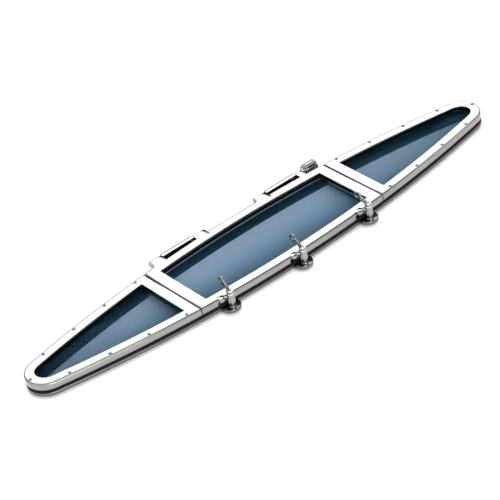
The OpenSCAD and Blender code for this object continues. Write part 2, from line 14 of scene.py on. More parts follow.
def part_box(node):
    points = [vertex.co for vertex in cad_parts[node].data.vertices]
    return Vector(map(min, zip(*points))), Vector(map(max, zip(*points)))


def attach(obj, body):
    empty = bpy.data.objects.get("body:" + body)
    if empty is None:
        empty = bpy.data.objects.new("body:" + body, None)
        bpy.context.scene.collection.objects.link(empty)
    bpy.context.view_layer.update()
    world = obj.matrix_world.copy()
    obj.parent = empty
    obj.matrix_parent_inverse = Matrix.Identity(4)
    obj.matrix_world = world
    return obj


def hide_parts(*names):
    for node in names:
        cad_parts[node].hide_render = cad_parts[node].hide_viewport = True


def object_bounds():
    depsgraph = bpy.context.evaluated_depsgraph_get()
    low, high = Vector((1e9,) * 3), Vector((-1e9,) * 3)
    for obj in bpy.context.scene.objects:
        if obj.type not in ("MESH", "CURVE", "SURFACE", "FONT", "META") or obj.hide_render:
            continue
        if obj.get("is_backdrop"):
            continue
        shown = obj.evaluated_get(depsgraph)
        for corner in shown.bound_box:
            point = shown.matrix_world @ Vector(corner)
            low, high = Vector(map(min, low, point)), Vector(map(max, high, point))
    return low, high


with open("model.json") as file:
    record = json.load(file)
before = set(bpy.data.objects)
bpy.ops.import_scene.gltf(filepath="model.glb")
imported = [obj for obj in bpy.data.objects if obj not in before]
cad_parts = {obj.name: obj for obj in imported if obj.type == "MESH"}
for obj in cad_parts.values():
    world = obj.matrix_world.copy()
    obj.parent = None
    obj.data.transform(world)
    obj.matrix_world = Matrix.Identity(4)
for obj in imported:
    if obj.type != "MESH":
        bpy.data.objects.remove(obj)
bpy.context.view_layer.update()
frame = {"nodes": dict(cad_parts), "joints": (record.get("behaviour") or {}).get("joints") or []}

MM = 0.001

# ---------------------------------------------------------------- sizes taken from the frame


def box_mm(node):
    """Lowest and highest corner of a CAD node in millimetres."""
    low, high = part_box(node)
    return low / MM, high / MM


gasket_low, gasket_high = box_mm("perimeter_gasket")
wing_low, wing_high = box_mm("wing_frame_right")
glass_low, glass_high = box_mm("wing_glass_right")
lid_glass_low, lid_glass_high = box_mm("lid_glass")
base_low, base_high = box_mm("base_frame")
knuckle_low, knuckle_high = box_mm("hinge_bracket_left")
knuckle_right_low, knuckle_right_high = box_mm("hinge_bracket_right")
knob_low, knob_high = box_mm("friction_knob")

# outline: two long arcs that run into round tips
HALF_LEN = wing_high.x
HALF_W = 121.0
TIP_R = 52.0
ARC_LAP = 0.05
TIP_X = HALF_LEN - TIP_R
TIP_T = TIP_R - ARC_LAP
ARC_R = (TIP_X**2 / (HALF_W - TIP_T) + TIP_T + HALF_W) / 2
ARC_C = ARC_R - HALF_W
# heights
SPIGOT_Z = base_low.z
FLANGE_Z = gasket_low.z
FRAME_Z = gasket_high.z
GLASS_BOTTOM = glass_low.z
GLASS_TOP = glass_high.z
TOP_Z = wing_high.z
LIP_Z = TOP_Z - 4.0
# along the hatch: the seams between lid and wings, then the wells' and ledges' ends
LID_HALF = 282.0
WING_X = wing_low.x
LID_WELL_X = LID_HALF - 12.0
LID_LEDGE_X = LID_HALF - 24.0
WING_WELL_X = WING_X + 6.5
WING_LEDGE_X = WING_X + 19.5
# across the frames: wall, face, faces of the ends, and how far in the openings lie
WALL = 15.0
FACE = 24.5
LID_END = 30.5
WING_END = 27.0
OPENING = 25.0

joints = {j["name"]: j for j in frame["joints"]}
HINGE_Y = joints["lid_hinge"]["pos_m"][1] / MM
HINGE_Z = joints["lid_hinge"]["pos_m"][2] / MM
DOG_PLACES = [joints[f"dog_screw_{n}"]["pos_m"] for n in (1, 2, 3)]
DOG_AXES = [(place[0] / MM, place[1] / MM) for place in DOG_PLACES]
# degrees that each lever is turned from straight back at rest
DOG_TURN = (-4.0, 4.0, 16.0)


def edge_y(x, inset=0.0):
    """Height of the outline's rear arc at x, drawn in by inset."""
    return math.sqrt((ARC_R - inset) ** 2 - x * x) - ARC_C


def arc_end(inset):
    """Where the long arcs, drawn in by inset, meet the tip circles."""
    return TIP_X * (ARC_R - inset) / (ARC_R - TIP_R)


# ---------------------------------------------------------------- mesh helpers


def mesh_object(name, verts, faces, body, material, node, sharp=32.0):
    """A piece that stands for a CAD node, smooth except at edges sharper than the given angle."""
    mesh = bpy.data.meshes.new(name)
    mesh.from_pydata([tuple(c * MM for c in v) for v in verts], [], faces)
    bm = bmesh.new()
    bm.from_mesh(mesh)
    bmesh.ops.remove_doubles(bm, verts=bm.verts, dist=1e-7)
    bmesh.ops.recalc_face_normals(bm, faces=bm.faces)
    limit = math.radians(sharp)
    for face in bm.faces:
        face.smooth = True
    for edge in bm.edges:
        if len(edge.link_faces) == 2:
            edge.smooth = edge.calc_face_angle() < limit
    bm.to_mesh(mesh)
    bm.free()
    obj = bpy.data.objects.new(name, mesh)
    bpy.context.scene.collection.objects.link(obj)
    obj.data.materials.append(material)
    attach(obj, body)
    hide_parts(node)


class Shape:
    """Vertices and faces gathered from several solids."""

    def __init__(self):
        self.verts = []
        self.faces = []

    def add(self, verts, faces, matrix=None):
        start = len(self.verts)
        for v in verts:
            self.verts.append(tuple(matrix @ Vector(v)) if matrix else tuple(v))
        self.faces += [tuple(i + start for i in f) for f in faces]


def grid_faces(rows, cols, wrap_rows=False, wrap_cols=False):
    """Faces between neighbouring rows of points, each row cols points long."""
    faces = []
    for r in range(rows if wrap_rows else rows - 1):
        for c in range(cols if wrap_cols else cols - 1):
            a = r * cols + c
            b = r * cols + (c + 1) % cols
            d = ((r + 1) % rows) * cols + c
            e = ((r + 1) % rows) * cols + (c + 1) % cols
            faces.append((a, b, e, d))
    return faces


CORNER_STEPS = 4


def rounded(points, closed=True):
    """A profile with its corners rounded: points are (u, v, radius)."""
    out = []
    count = len(points)
    for i, (u, v, r) in enumerate(points):
        if r <= 0 or (not closed and i in (0, count - 1)):
            out.append((u, v))
            continue
        here = Vector((u, v))
        before = Vector(points[i - 1][:2]) - here
        after = Vector(points[(i + 1) % count][:2]) - here
        angle = before.angle(after)
        if angle < 0.01 or angle > math.pi - 0.01:
            out.append((u, v))
            continue
        reach = min(r / math.tan(angle / 2), before.length * 0.49, after.length * 0.49)
        radius = reach * math.tan(angle / 2)
        inwards = (before.normalized() + after.normalized()).normalized()
        centre = here + inwards * radius / math.sin(angle / 2)
        first = here + before.normalized() * reach - centre
        last = here + after.normalized() * reach - centre
        turn = first.angle_signed(last)
        for k in range(CORNER_STEPS + 1):
            a = -turn * k / CORNER_STEPS
            corner_u = centre.x + first.x * math.cos(a) - first.y * math.sin(a)
            corner_v = centre.y + first.x * math.sin(a) + first.y * math.cos(a)
            out.append((corner_u, corner_v))
    return out


ARC_STEPS = 120
TIP_STEPS = 40


def full_loop(inset):
    """The whole outline drawn in by inset, as points in order."""
    points = []
    end = arc_end(inset)
    half = math.asin(end / (ARC_R - inset))
    for side in (1, -1):
        for k in range(2 * ARC_STEPS + 1):
            a = half - half * k / ARC_STEPS
            x = (ARC_R - inset) * math.sin(a)
            y = (ARC_R - inset) * math.cos(a) - ARC_C
            points.append((side * x, side * y))
        low = math.pi / 2 + half
        for k in range(1, TIP_STEPS):
            a = low + (math.pi - 2 * half) * k / TIP_STEPS
            x = -TIP_X + (TIP_R - inset) * math.cos(a)
            y = (TIP_R - inset) * math.sin(a)
            points.append((side * x, side * y))
    return points


def wing_loop(inset, start_x):
    """A wing's outline drawn in by inset, closed by the straight line at start_x."""
    points = []
    end = math.asin(arc_end(inset) / (ARC_R - inset))
    first = math.asin(start_x / (ARC_R - inset))
    for k in range(ARC_STEPS + 1):
        a = first + (end - first) * k / ARC_STEPS
        points.append(((ARC_R - inset) * math.sin(a), (ARC_R - inset) * math.cos(a) - ARC_C))
    for k in range(1, TIP_STEPS):
        a = math.pi / 2 - end - (math.pi - 2 * end) * k / TIP_STEPS
        points.append((TIP_X + (TIP_R - inset) * math.cos(a), (TIP_R - inset) * math.sin(a)))
    for k in range(ARC_STEPS + 1):
        a = end + (first - end) * k / ARC_STEPS
        points.append(((ARC_R - inset) * math.sin(a), ARC_C - (ARC_R - inset) * math.cos(a)))
    return points


def lid_loop(inset, end_x):
    """The lid's outline drawn in by inset, closed by straight lines at both ends."""
    points = []
    half = math.asin(end_x / (ARC_R - inset))
    for side in (1, -1):
        for k in range(2 * ARC_STEPS + 1):
            a = half - half * k / ARC_STEPS
            x = (ARC_R - inset) * math.sin(a)
            y = (ARC_R - inset) * math.cos(a) - ARC_C
            points.append((side * x, side * y))
    return points


def sweep(shape, loop, profile, mirror=False):
    """A profile of (inset, z) swept round loop(inset), as a closed ring."""
    rows = []
    for inset, z in profile:
        rows.append([(-x if mirror else x, y, z) for x, y in loop(inset)])
    cols = len(rows[0])
    verts = [p for row in rows for p in row]
    shape.add(verts, grid_faces(len(rows), cols, wrap_rows=True, wrap_cols=True))


def arc_points(x, y, r, start, end, steps=12):
    """Points of an arc about (x, y), from the angle start to the angle end in degrees."""
    out = []
    for k in range(steps + 1):
        a = math.radians(start + (end - start) * k / steps)
        out.append((x + r * math.cos(a), y + r * math.sin(a)))
    return out


def loft(shape, rows):
    """A solid through rows of points, closed by a flat face at each end."""
    count = len(rows[0])
    faces = grid_faces(len(rows), count, wrap_cols=True)
    faces += [tuple(range(count)), tuple(range((len(rows) - 1) * count, len(rows) * count))]
    shape.add([p for row in rows for p in row], faces)


EDGE_STEPS = 2


def plate(shape, points, z0, z1, edge, mirror=False):
    """A flat plate of the given outline, its upper and lower edges rounded over."""
    area = 0.0
    count = len(points)
    for i in range(count):
        x0, y0 = points[i]
        x1, y1 = points[(i + 1) % count]
        area += x0 * y1 - x1 * y0
    turn = 1.0 if area > 0 else -1.0
    normals = []
    for i in range(count):
        before = Vector(points[i]) - Vector(points[i - 1])
        after = Vector(points[(i + 1) % count]) - Vector(points[i])
        n1 = Vector((before.y, -before.x)).normalized() * turn
        n2 = Vector((after.y, -after.x)).normalized() * turn
        n = (n1 + n2).normalized()
        normals.append(n / max(0.3, n.dot(n1)))
    levels = []
    for k in range(EDGE_STEPS + 1):
        a = math.pi / 2 * k / EDGE_STEPS
        levels.append((edge * (1 - math.sin(a)), z0 + edge * (1 - math.cos(a))))
    for k in range(EDGE_STEPS + 1):
        a = math.pi / 2 * k / EDGE_STEPS
        levels.append((edge * (1 - math.cos(a)), z1 - edge * (1 - math.sin(a))))
    rows = []
    for inset, z in levels:
        row = []
        for (x, y), n in zip(points, normals):
            px, py = x - n.x * inset, y - n.y * inset
            row.append((-px if mirror else px, py, z))
        rows.append(row)
    loft(shape, rows)


def lathe(shape, profile, matrix, steps=64, closed=False, radius_of=None):
    """A profile of (radius, height) turned about its axis, then placed by matrix."""
    verts = []
    for k in range(steps):
        a = 2 * math.pi * k / steps
        for r, h in profile:
            radius = radius_of(r, h, a) if radius_of else r
            verts.append((radius * math.cos(a), radius * math.sin(a), h))
    shape.add(verts, grid_faces(steps, len(profile), wrap_rows=True, wrap_cols=closed), matrix)


def cut(shape, cutter):
    """The shape with the cutter's solids taken out of it."""
    made = []
    for part in (shape, cutter):
        mesh = bpy.data.meshes.new("cut")
        mesh.from_pydata(part.verts, [], part.faces)
        bm = bmesh.new()
        bm.from_mesh(mesh)
        bmesh.ops.remove_doubles(bm, verts=bm.verts, dist=1e-5)
        bmesh.ops.recalc_face_normals(bm, faces=bm.faces)
        bm.to_mesh(mesh)
        bm.free()
        obj = bpy.data.objects.new("cut", mesh)
        bpy.context.scene.collection.objects.link(obj)
        made.append(obj)
    modifier = made[0].modifiers.new("cut", "BOOLEAN")
    modifier.operation = "DIFFERENCE"
    modifier.solver = "EXACT"
    modifier.object = made[1]
    bpy.context.view_layer.update()
    graph = bpy.context.evaluated_depsgraph_get()
    mesh = bpy.data.meshes.new_from_object(made[0].evaluated_get(graph))
    result = Shape()
    result.add([v.co for v in mesh.vertices], [tuple(p.vertices) for p in mesh.polygons])
    for obj in made:
        bpy.data.objects.remove(obj)
    return result


def along_x(x, y, z):
    """Placement of a lathe whose axis runs along +X."""
    return Matrix.Translation((x, y, z)) @ Euler((0, math.pi / 2, 0)).to_matrix().to_4x4()


def rounded_block(shape, low, high, r):
    """A block with all its edges rounded."""
    bm = bmesh.new()
    bmesh.ops.create_cube(bm, size=1)
    size = Vector(high) - Vector(low)
    middle = (Vector(high) + Vector(low)) / 2
    for v in bm.verts:
        v.co = Vector((v.co.x * size.x, v.co.y * size.y, v.co.z * size.z)) + middle
    everything = bm.edges[:] + bm.verts[:]
    bmesh.ops.bevel(bm, geom=everything, offset=r, segments=3, profile=0.5, affect="EDGES")
    bm.verts.index_update()
    shape.add([v.co for v in bm.verts], [tuple(v.index for v in f.verts) for f in bm.faces])
    bm.free()


# ---------------------------------------------------------------- materials


def new_material(name):
    """An empty material, its nodes and links, and its output."""
    material = bpy.data.materials.new(name)
    material.use_nodes = True
    nodes = material.node_tree.nodes
    nodes.clear()
    out = nodes.new("ShaderNodeOutputMaterial")
    return material, nodes, material.node_tree.links, out


def add_noise(nodes, links, coord, scale, detail, stretch=None):
    """Noise in object coordinates, in features per metre, optionally stretched."""
    noise = nodes.new("ShaderNodeTexNoise")
    noise.inputs["Scale"].default_value = scale
    noise.inputs["Detail"].default_value = detail
    source = coord.outputs["Object"]
    if stretch:
        mapping = nodes.new("ShaderNodeMapping")
        mapping.inputs["Scale"].default_value = stretch
        links.new(source, mapping.inputs["Vector"])
        source = mapping.outputs["Vector"]
    links.new(source, noise.inputs["Vector"])
    return noise


def ramp(nodes, links, source, low, high, start=0.3, end=0.7):
    """Map a value from start..end onto low..high."""
    node = nodes.new("ShaderNodeMapRange")
    node.inputs["From Min"].default_value = start
    node.inputs["From Max"].default_value = end
    node.inputs["To Min"].default_value = low
    node.inputs["To Max"].default_value = high
    links.new(source, node.inputs["Value"])
    return node.outputs["Result"]


def mix_colour(nodes, links, factor, first, second):
    """A colour between two, by factor."""
    node = nodes.new("ShaderNodeMix")
    node.data_type = "RGBA"
    node.inputs[6].default_value = (*first, 1)
    node.inputs[7].default_value = (*second, 1)
    links.new(factor, node.inputs[0])
    return node.outputs[2]


def metal(name, colour, dull, rough, rough_spread, brush, bump, stretch):
    """Metal with uneven polish, faint wiping marks, slightly dulled patches and rubbed corners."""
    material, nodes, links, out = new_material(name)
    coord = nodes.new("ShaderNodeTexCoord")
    shader = nodes.new("ShaderNodeBsdfPrincipled")
    shader.inputs["Metallic"].default_value = 1.0
    cloud = add_noise(nodes, links, coord, 9.0, 4.0)
    grain = add_noise(nodes, links, coord, brush, 3.0, stretch)
    geometry = nodes.new("ShaderNodeNewGeometry")
    corner = ramp(nodes, links, geometry.outputs["Pointiness"], 0.0, 1.0, 0.5, 0.6)
    tone = mix_colour(nodes, links, ramp(nodes, links, cloud.outputs["Fac"], 0, 1), colour, dull)
    worn = nodes.new("ShaderNodeMix")
    worn.data_type = "RGBA"
    worn.inputs[7].default_value = (*colour, 1)
    links.new(corner, worn.inputs[0])
    links.new(tone, worn.inputs[6])
    links.new(worn.outputs[2], shader.inputs["Base Color"])
    spread = ramp(nodes, links, cloud.outputs["Fac"], rough, rough + rough_spread)
    fine = ramp(nodes, links, grain.outputs["Fac"], 0.0, rough_spread * 0.8)
    total = nodes.new("ShaderNodeMath")
    links.new(spread, total.inputs[0])
    links.new(fine, total.inputs[1])
    links.new(total.outputs[0], shader.inputs["Roughness"])
    bumps = nodes.new("ShaderNodeBump")
    bumps.inputs["Strength"].default_value = bump
    bumps.inputs["Distance"].default_value = 0.00005
    links.new(grain.outputs["Fac"], bumps.inputs["Height"])
    links.new(bumps.outputs["Normal"], shader.inputs["Normal"])
    links.new(shader.outputs[0], out.inputs[0])
    return material


def soft_material(name, colour, second, rough, rough_spread, scale, bump, specular=0.5):
    """Rubber or plastic with mottled tone, uneven sheen and a fine skin."""
    material, nodes, links, out = new_material(name)
    coord = nodes.new("ShaderNodeTexCoord")
    shader = nodes.new("ShaderNodeBsdfPrincipled")
    shader.inputs["Specular IOR Level"].default_value = specular
    cloud = add_noise(nodes, links, coord, 25.0, 4.0)
    skin = add_noise(nodes, links, coord, scale, 5.0)
    tone = mix_colour(nodes, links, ramp(nodes, links, cloud.outputs["Fac"], 0, 1), colour, second)
    links.new(tone, shader.inputs["Base Color"])
    sheen = ramp(nodes, links, skin.outputs["Fac"], rough, rough + rough_spread)
    links.new(sheen, shader.inputs["Roughness"])
    bumps = nodes.new("ShaderNodeBump")
    bumps.inputs["Strength"].default_value = bump
    bumps.inputs["Distance"].default_value = 0.0001
    links.new(skin.outputs["Fac"], bumps.inputs["Height"])
    links.new(bumps.outputs["Normal"], shader.inputs["Normal"])
    links.new(shader.outputs[0], out.inputs[0])
    return material


GLASS_GLOSS = (0.15, 0.45, 0.65)
# where the painted shade in the glass's tint starts and ends across the glass, in metres
GLASS_SHADE_FRONT_Y = -0.085
GLASS_SHADE_REAR_Y = 0.06


def glass_material(name, front, rear):
    """Tinted flat glass: it colours the light that passes and mirrors at a slant; its tint darkens towards
    the front as painted shade, for the front frame's shadow on the floor beneath.
    """
    material, nodes, links, out = new_material(name)
    coord = nodes.new("ShaderNodeTexCoord")
    cloud = add_noise(nodes, links, coord, 3.0, 2.0)
    smear = add_noise(nodes, links, coord, 30.0, 4.0, (0.4, 2.0, 1.0))
    parts = nodes.new("ShaderNodeSeparateXYZ")
    links.new(coord.outputs["Object"], parts.inputs[0])
    # painted shade: the tint is graded darker towards the front, for the front frame's shadow on the floor
    # below the pane
    painted_shade_grade = ramp(nodes, links, parts.outputs["Y"], 0.0, 0.9, GLASS_SHADE_FRONT_Y, GLASS_SHADE_REAR_Y)
    mottle = ramp(nodes, links, cloud.outputs["Fac"], 0.0, 0.1)
    total = nodes.new("ShaderNodeMath")
    links.new(painted_shade_grade, total.inputs[0])
    links.new(mottle, total.inputs[1])
    through = nodes.new("ShaderNodeBsdfTransparent")
    links.new(mix_colour(nodes, links, total.outputs[0], front, rear), through.inputs["Color"])
    gloss = nodes.new("ShaderNodeBsdfGlossy")
    gloss.inputs["Color"].default_value = (*GLASS_GLOSS, 1)
    links.new(ramp(nodes, links, smear.outputs["Fac"], 0.01, 0.06), gloss.inputs["Roughness"])
    bumps = nodes.new("ShaderNodeBump")
    bumps.inputs["Strength"].default_value = 0.05
    bumps.inputs["Distance"].default_value = 0.0001
    links.new(cloud.outputs["Fac"], bumps.inputs["Height"])
    links.new(bumps.outputs["Normal"], gloss.inputs["Normal"])
    # Schlick's curve from the facing angle, the same on both sides of the pane
    facing = nodes.new("ShaderNodeLayerWeight")
    facing.inputs["Blend"].default_value = 0.5
    power = nodes.new("ShaderNodeMath")
    power.operation = "POWER"
    power.inputs[1].default_value = 5.0
    links.new(facing.outputs["Facing"], power.inputs[0])
    slant = ramp(nodes, links, power.outputs[0], 0.006, 0.4, 0.0, 1.0)
    mixer = nodes.new("ShaderNodeMixShader")
    links.new(slant, mixer.inputs[0])
    links.new(through.outputs[0], mixer.inputs[1])
    links.new(gloss.outputs[0], mixer.inputs[2])
    links.new(mixer.outputs[0], out.inputs[0])
    return material


# which way a metal's fine marks run
ALONG = (0.3, 1, 1)
UPRIGHT = (1, 1, 0.2)
EVEN = (1, 1, 1)
# each metal: name, colour, dulled colour, roughness, its spread, and the marks' scale, strength and run
polished = metal("polished_steel", (0.31, 0.325, 0.305), (0.275, 0.29, 0.27), 0.04, 0.04, 260, 0.05, ALONG)
# painted shade: the flange is a darker copy of the polished steel, for the shade its faces mirror near the
# floor
flange_steel_painted_shade = metal("flange_steel_painted_shade", (0.15, 0.155, 0.15), (0.12, 0.125, 0.12), 0.08, 0.06, 260, 0.05, ALONG)
satin = metal("satin_steel", (0.46, 0.46, 0.45), (0.40, 0.40, 0.39), 0.22, 0.12, 700, 0.12, UPRIGHT)
screw_steel = metal("screw_steel", (0.2, 0.2, 0.19), (0.16, 0.16, 0.155), 0.26, 0.12, 700, 0.12, UPRIGHT)
# painted shade: the risers' and spigots' steel is darkened nearly to black teal for the shade inside the
# wells
inside = metal("spigot_steel_painted_shade", (0.018, 0.046, 0.056), (0.014, 0.038, 0.047), 0.5, 0.04, 60, 0.01, EVEN)
brass = metal("brass", (0.78, 0.58, 0.28), (0.62, 0.46, 0.22), 0.20, 0.10, 600, 0.1, UPRIGHT)
black, worn_black = (0.004, 0.004, 0.004), (0.007, 0.006, 0.006)
rubber = soft_material("black_rubber", black, worn_black, 0.55, 0.25, 900, 0.3, 0.08)
nylon = soft_material("nylon", (0.78, 0.76, 0.69), (0.70, 0.68, 0.60), 0.35, 0.15, 400, 0.1)
# the first colour, at the front, is the darker one: painted shade graded across the pane
glass = glass_material("tinted_glass", (0.45, 0.55, 0.61), (0.73, 0.765, 0.82))

# ---------------------------------------------------------------- base


LOBE_R = 23.98
LOBE_IN = 5.0
LOBE_STEPS = 48
PAD_SPARE = 4.0
PAD_CORNER_R = 8.0
CORNER_ARC_STEPS = 8
FLANGE_STEP = 8.0


def side_points(x0, x1, side):
    """Points along the outline's rear (side 1) or front (side -1) arc, from x0 to x1."""
    count = max(2, int(abs(x1 - x0) / FLANGE_STEP))
    out = []
    for k in range(count + 1):
        x = x0 + (x1 - x0) * k / count
        out.append((x, side * edge_y(x)))
    return out


def tip_points(side):
    """Points round the right (side 1) or left (side -1) tip, against the clock."""
    half = math.asin(arc_end(0) / ARC_R)
    out = []
    for k in range(1, TIP_STEPS):
        a = half - math.pi / 2 + (math.pi - 2 * half) * k / TIP_STEPS
        out.append((side * (TIP_X + TIP_R * math.cos(a)), side * TIP_R * math.sin(a)))
    return out


def base_outline():
    """The flange seen from above, with the dogs' lobes and the hinges' pads, against the clock."""
    pad_half = (knuckle_high.x - knuckle_low.x) / 2 + PAD_SPARE
    end = arc_end(0)
    reach = math.sqrt(LOBE_R**2 - LOBE_IN**2)
    dip = math.asin(LOBE_IN / LOBE_R)
    points = []
    x = -end
    for dog_x, dog_y in DOG_AXES:
        centre_y = -edge_y(dog_x) - LOBE_IN
        points += side_points(x, dog_x - reach, -1)
        for k in range(1, LOBE_STEPS):
            a = math.pi - dip + (math.pi + 2 * dip) * k / LOBE_STEPS
            points.append((dog_x + LOBE_R * math.cos(a), centre_y + LOBE_R * math.sin(a)))
        x = dog_x + reach
    points += side_points(x, end, -1)
    points += tip_points(1)
    x = end
    for low, high in ((knuckle_right_low, knuckle_right_high), (knuckle_low, knuckle_high)):
        middle = (low.x + high.x) / 2
        points += side_points(x, middle + pad_half, 1)
        for side, start in ((1, 0), (-1, 90)):
            corner_x = middle + side * (pad_half - PAD_CORNER_R)
            corner_y = base_high.y - PAD_CORNER_R
            points += arc_points(corner_x, corner_y, PAD_CORNER_R, start, start + 90, CORNER_ARC_STEPS)
        x = middle - pad_half
    points += side_points(x, -end, 1)
    points += tip_points(-1)
    return points


def plate_with_holes(outlines, z0, z1, edge):
    """Vertices and faces of a plate with rounded edges: the first outline is its rim, the others holes."""
    curve = bpy.data.curves.new("plate_curve", "CURVE")
    curve.dimensions = "2D"
    curve.fill_mode = "BOTH"
    curve.extrude = (z1 - z0) / 2 * MM - edge * MM
    curve.bevel_depth = edge * MM
    curve.bevel_resolution = 3
    curve.offset = -edge * MM
    for points in outlines:
        spline = curve.splines.new("POLY")
        spline.points.add(len(points) - 1)
        for point, (x, y) in zip(spline.points, points):
            point.co = (x * MM, y * MM, 0, 1)
        spline.use_cyclic_u = True
    holder = bpy.data.objects.new("plate_holder", curve)
    bpy.context.scene.collection.objects.link(holder)
    bpy.context.view_layer.update()
    graph = bpy.context.evaluated_depsgraph_get()
    mesh = bpy.data.meshes.new_from_object(holder.evaluated_get(graph))
    middle = (z0 + z1) / 2
    verts = [(v.co.x / MM, v.co.y / MM, v.co.z / MM + middle) for v in mesh.vertices]
    faces = [tuple(p.vertices) for p in mesh.polygons]
    bpy.data.objects.remove(holder)
    return verts, faces


def wing_hole(side):
    """The opening below the right (side 1) or left (side -1) wing."""
    return [(side * x, y) for x, y in wing_loop(OPENING, WING_WELL_X)]


flange_verts, flange_faces = plate_with_holes(
    [base_outline(), lid_loop(OPENING, LID_WELL_X), wing_hole(1), wing_hole(-1)], 0.0, FLANGE_Z, 1.2
)
mesh_object("base_flange", flange_verts, flange_faces, "root", flange_steel_painted_shade, "base_frame")


def between(inset, outer, outer_x, inner, inner_x):
    """An end's distance along the hatch where the sides have come in by inset."""
    return outer_x + (inner_x - outer_x) * (inset - outer) / (inner - outer)


LID_LEDGE_INSET = 13.0
WING_GAP = 1.2
WING_LEDGE_INSET = WALL + WING_GAP
SPIGOT_T = 4.0


def lid_ledge_loop(inset):
    """Loop of the wall inside the lid, whose ends lean in towards the ledge."""
    return lid_loop(inset, between(inset, LID_LEDGE_INSET, LID_WELL_X + SPIGOT_T, OPENING, LID_LEDGE_X))


def wing_ledge_loop(inset):
    """Loop of the wall inside a wing."""
    return wing_loop(inset, between(inset, WING_LEDGE_INSET, WING_WELL_X - SPIGOT_T, OPENING, WING_LEDGE_X))


def wing_bed_loop(inset):
    """Loop of the bed that a wing's glass lies on."""
    start_x = between(inset, WING_LEDGE_INSET, WING_X + WING_LEDGE_INSET, OPENING, WING_LEDGE_X)
    return wing_loop(inset, start_x)


def lid_spigot_loop(inset):
    """Loop of the spigot below the lid."""
    return lid_loop(inset, LID_WELL_X + (OPENING - inset))


def wing_spigot_loop(inset):
    """Loop of the spigot below a wing."""
    return wing_loop(inset, WING_WELL_X - (OPENING - inset))


def wall_section(outer, low, high, inner=OPENING):
    """Section of an upright wall from inset outer in to the opening."""
    return rounded([(outer, low, 0), (outer, high, 0.5), (inner, high, 0.8), (inner, low, 0)])


risers = Shape()
sweep(risers, lid_ledge_loop, wall_section(LID_LEDGE_INSET, FLANGE_Z - 0.5, FRAME_Z - 2.5))
for mirror in (False, True):
    sweep(risers, wing_ledge_loop, wall_section(WING_LEDGE_INSET, FLANGE_Z - 0.5, FRAME_Z - 0.5), mirror)
    sweep(risers, wing_bed_loop, wall_section(WING_LEDGE_INSET, FRAME_Z - 1, GLASS_BOTTOM - 1), mirror)
mesh_object("base_risers", risers.verts, risers.faces, "root", inside, "base_frame")

spigots = Shape()
# the spigots' inner faces stand a little proud of the flange's and line it too
spigot_section = wall_section(OPENING - SPIGOT_T, FLANGE_Z - 0.3, SPIGOT_Z, OPENING + 0.3)
sweep(spigots, lid_spigot_loop, spigot_section)
for mirror in (False, True):
    sweep(spigots, wing_spigot_loop, spigot_section, mirror)
mesh_object("base_spigots", spigots.verts, spigots.faces, "root", inside, "base_frame")

# ---------------------------------------------------------------- gasket, with moulded ribs on its face

RIB_COUNT = 4
RIB_DEPTH = 0.5
GASKET_IN = 1.2
GASKET_W = 12.0

gasket = Shape()
rib_height = (FRAME_Z - FLANGE_Z) / RIB_COUNT
ribs = []
for k in range(RIB_COUNT):
    low = FLANGE_Z + rib_height * k
    high = FLANGE_Z + rib_height * (k + 1)
    ribs += [(GASKET_IN + RIB_DEPTH, low + 0.15, 0.1), (GASKET_IN, low + 0.7, 0.4)]
    ribs += [(GASKET_IN, high - 0.7, 0.4), (GASKET_IN + RIB_DEPTH, high - 0.15, 0.1)]
gasket_profile = rounded([(GASKET_W, FLANGE_Z + 0.02, 0.3)] + ribs + [(GASKET_W, FRAME_Z - 0.02, 0.3)])
sweep(gasket, full_loop, gasket_profile)
mesh_object("gasket", gasket.verts, gasket.faces, "root", rubber, "perimeter_gasket", 50)

# ---------------------------------------------------------------- upper frames


EDGE_BEVEL = 1.7
REBATE_INSET = 9.3


def frame_profile(rebate):
    """Section of an upper frame: foot, groove in the side, bevelled edge, lip, and back to the foot."""
    side_top = TOP_Z - EDGE_BEVEL
    points = [
        (0.0, FRAME_Z + 0.02, 0.5),
        (0.0, side_top - 2.6, 0.2),
        (0.35, side_top - 2.2, 0.2),
        (0.35, side_top - 1.6, 0.2),
        (0.0, side_top - 1.2, 0.2),
        (0.0, side_top, 0.4),
        (1.2, TOP_Z - 0.5, 0.15),
        (3.5, TOP_Z, 0.15),
        (FACE, TOP_Z, 0.5),
        (FACE, LIP_Z, 0.3),
        (WALL, LIP_Z, 0.2),
    ]
    if rebate:
        points += [(WALL, GLASS_BOTTOM - 1, 0.2), (REBATE_INSET, GLASS_BOTTOM - 1, 0.2)]
        points += [(REBATE_INSET, FRAME_Z + 0.02, 0.3)]
    else:
        points += [(WALL, FRAME_Z + 0.02, 0.3)]
    return rounded(points)


def seam_inset(inset, end_w):
    """How far the frame's end has come in from the seam where its sides have come in by inset."""
    if inset <= WALL:
        return inset
    return WALL + (inset - WALL) * (end_w - WALL) / (FACE - WALL)


def lid_frame_loop(inset):
    """Loop of the lid's frame."""
    return lid_loop(inset, LID_HALF - seam_inset(inset, LID_END))


def wing_frame_loop(inset):
    """Loop of a wing's frame."""
    return wing_loop(inset, WING_X + seam_inset(inset, WING_END))


M5_R = 2.5
M5_HEAD_R = 4.65
SINK_R = M5_HEAD_R + 0.12
SCREW_INSET = 7.6
SCREW_START = 318.0
SCREW_PITCH = 100.5
# one screw at the tip, then four along each side
SCREW_SPOTS = [(HALF_LEN - SCREW_INSET, 0.0)]
for k in range(4):
    x = SCREW_START + SCREW_PITCH * k
    for side in (1, -1):
        SCREW_SPOTS.append((x, side * edge_y(x, SCREW_INSET)))

lid_ring = Shape()
sweep(lid_ring, lid_frame_loop, frame_profile(True))
mesh_object("lid_ring", lid_ring.verts, lid_ring.faces, "lid", polished, "lid_frame", 25)

